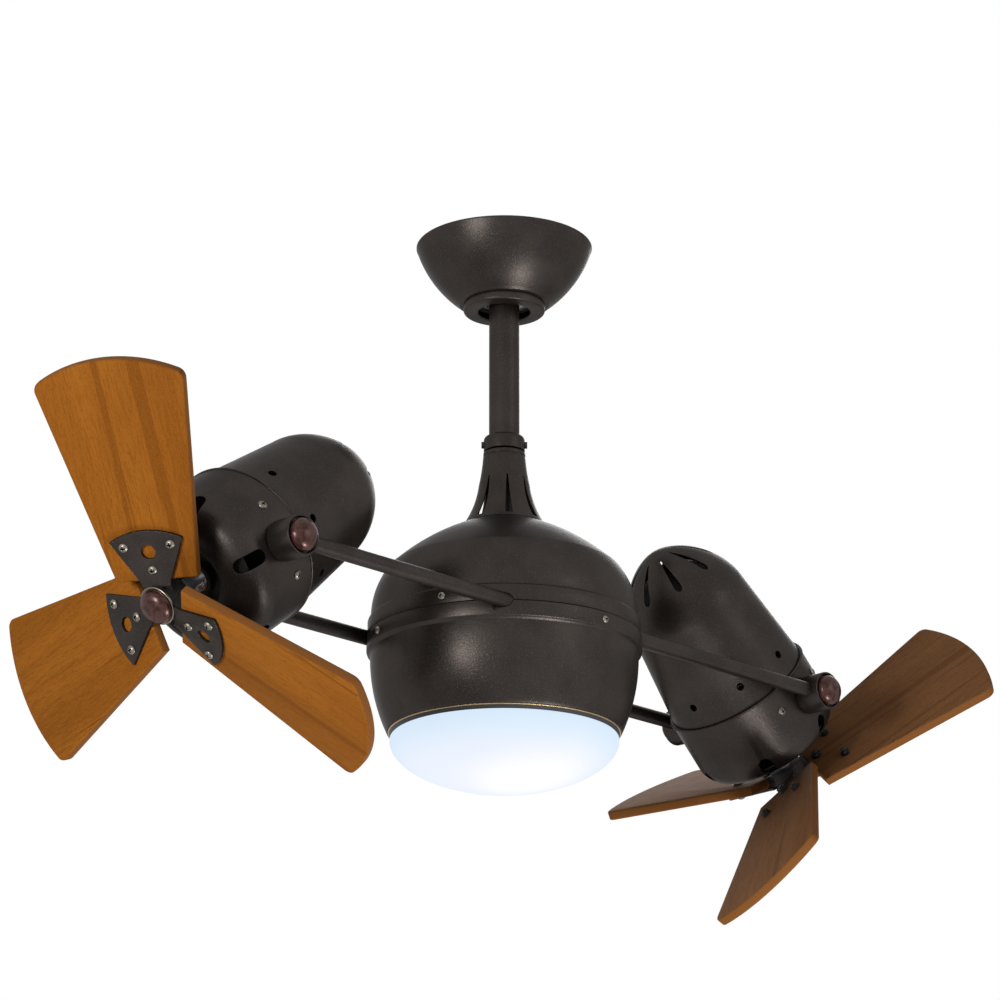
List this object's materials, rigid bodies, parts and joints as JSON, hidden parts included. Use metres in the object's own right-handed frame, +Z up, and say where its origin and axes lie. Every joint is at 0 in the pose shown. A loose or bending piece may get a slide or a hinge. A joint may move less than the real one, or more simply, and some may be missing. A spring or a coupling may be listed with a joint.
{
  "type": "twin head ceiling fan",
  "caption": "Ceiling fan with two tilting propeller heads on twin arms either side of a turning, domed light body, hung from a downrod and a flared canopy.",
  "frame": {"origin": "centre of the ceiling bracket's top face, in the ceiling plane, on the downrod's axis", "axes": "+Z up out of the ceiling, X along the two arms, Y along the heads' tilt axes; -X is the left head in the picture"},
  "size_m": [1.0208, 0.3791, 0.5751],
  "materials": {
    "bronze": "textured dark bronze",
    "red_bronze": "mottled glossy reddish bronze",
    "zinc_steel": "zinc plated",
    "black_steel": "black oxide",
    "bearing_steel": "ground",
    "nickel": "warm nickel plated",
    "brass": "satin",
    "die_cast": "as cast",
    "die_cast_black": "black painted casting",
    "laminations": "varnished steel sheets with copper coils",
    "nylon": "natural nylon",
    "dark_plastic": "moulded",
    "white_plastic": "moulded",
    "white_sheet": "white coated sheet",
    "lead_sleeve": "black sleeve",
    "opal_glass": "opal white, lit from inside",
    "blade_wood": "stained and varnished, grain along the blade"
  },
  "bodies": {
    "ceiling_mount": {"ceiling_bracket": "zinc_steel", "canopy": "bronze", "canopy_trim_ring": "bronze", "canopy_screws": "nickel"},
    "hanging_rod": {"hanger_ball": "nylon", "cross_pins": "zinc_steel", "set_screws": "nickel", "downrod": "bronze", "supply_lead": "lead_sleeve", "coupling_collar": "bronze", "spindle": "black_steel", "spindle_nut": "zinc_steel", "slip_ring_core": "brass"},
    "carriage": {"neck_cover": "bronze", "top_cap": "bronze", "upper_shell": "bronze", "lower_shell": "bronze", "hub_block": "die_cast", "carriage_bearings": "bearing_steel", "brush_block": "dark_plastic", "front_arm": "bronze", "rear_arm": "bronze", "clamp_screws": "zinc_steel", "belt_screws": "nickel", "light_pan": "white_sheet", "driver_box": "white_plastic", "diode_board": "white_sheet", "lip_ring": "brass", "glass_bowl": "opal_glass", "pivot_barrels": "bronze", "pivot_caps": "red_bronze", "arm_leads": "lead_sleeve"},
    "left_head": {"left_front_shell": "bronze", "left_rear_shell": "bronze", "left_motor_frame": "die_cast", "left_stator": "laminations", "left_shell_screws": "nickel", "left_motor_bearings": "bearing_steel"},
    "right_head": {"right_front_shell": "bronze", "right_rear_shell": "bronze", "right_motor_frame": "die_cast", "right_stator": "laminations", "right_shell_screws": "nickel", "right_motor_bearings": "bearing_steel"},
    "left_rotor": {"left_motor_rotor": "zinc_steel", "left_blade_hub": "die_cast_black", "left_blade_irons": "bronze", "left_blade_1": "blade_wood", "left_blade_2": "blade_wood", "left_blade_3": "blade_wood", "left_blade_screws": "nickel", "left_hub_cap": "red_bronze"},
    "right_rotor": {"right_motor_rotor": "zinc_steel", "right_blade_hub": "die_cast_black", "right_blade_irons": "bronze", "right_blade_1": "blade_wood", "right_blade_2": "blade_wood", "right_blade_3": "blade_wood", "right_blade_screws": "nickel", "right_hub_cap": "red_bronze"}
  },
  "joints": [
    {"name": "hanger_swing", "type": "hinge", "parent": "ceiling_mount", "child": "hanging_rod", "pos_m": [0, 0, -0.032], "axis": [1, 0, 0], "range_deg": [-8, 8]},
    {"name": "carriage_spin", "type": "hinge", "parent": "hanging_rod", "child": "carriage", "pos_m": [0, 0, -0.3612], "axis": [0, 0, 1], "continuous": true},
    {"name": "left_tilt", "type": "hinge", "parent": "carriage", "child": "left_head", "pos_m": [-0.321, 0, -0.3612], "axis": [0, 1, 0], "range_deg": [-52, 128]},
    {"name": "right_tilt", "type": "hinge", "parent": "carriage", "child": "right_head", "pos_m": [0.321, 0, -0.3612], "axis": [0, -1, 0], "range_deg": [-46.5, 133.5]},
    {"name": "left_rotor_spin", "type": "hinge", "parent": "left_head", "child": "left_rotor", "pos_m": [-0.321, 0, -0.3612], "axis": [-0.788, 0, -0.6157], "continuous": true},
    {"name": "right_rotor_spin", "type": "hinge", "parent": "right_head", "child": "right_rotor", "pos_m": [0.321, 0, -0.3612], "axis": [0.7254, 0, -0.6884], "continuous": true}
  ]
}
